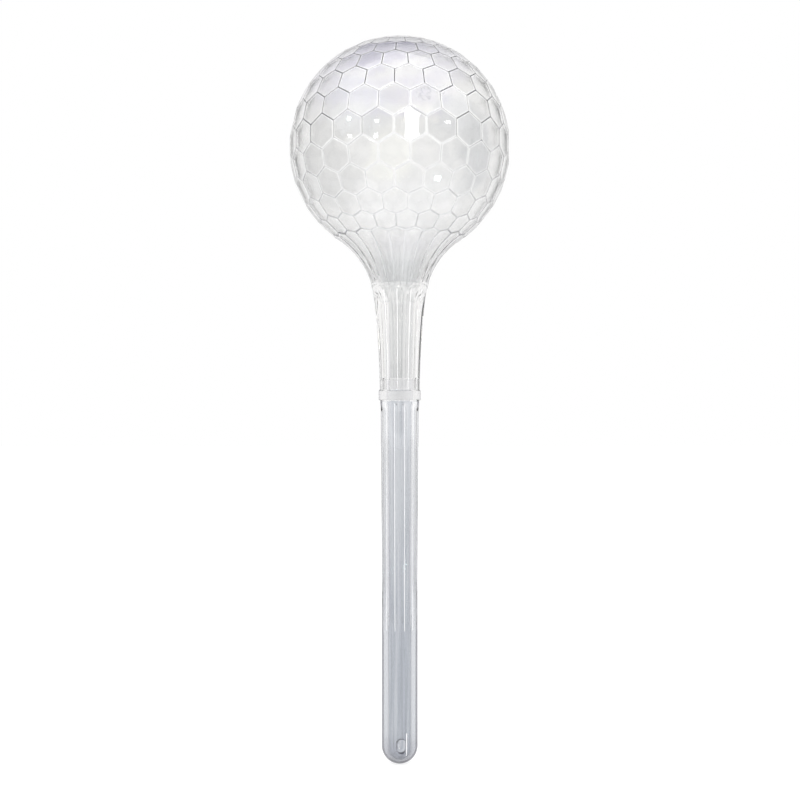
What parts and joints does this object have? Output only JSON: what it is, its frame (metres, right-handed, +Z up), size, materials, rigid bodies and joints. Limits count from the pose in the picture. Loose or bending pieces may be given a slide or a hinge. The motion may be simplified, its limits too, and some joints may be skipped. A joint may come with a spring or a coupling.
{
  "type": "watering globe",
  "caption": "Clear plastic watering globe for plant pots: a faceted hollow ball with a funnel and fluted neck that plugs onto a round-tipped hollow stem with a drip hole.",
  "frame": {"origin": "lowest point of the stem's rounded tip, on the long axis", "axes": "+Z up along the stem to the globe, -Y is the front, where the drip hole is, and +X to the right seen from the front"},
  "size_m": [0.0821, 0.0821, 0.27],
  "materials": {
    "globe_clear": "clear moulded plastic, polished facets",
    "stem_clear": "clear moulded plastic, thick wall, polished flutes"
  },
  "bodies": {
    "stem_body": {"stem": "stem_clear"},
    "globe_body": {"globe": "globe_clear"}
  },
  "joints": [
    {"name": "globe_lift", "type": "slide", "parent": "stem_body", "child": "globe_body", "axis": [0, 0, 1], "range_m": [0, 0.012]}
  ]
}
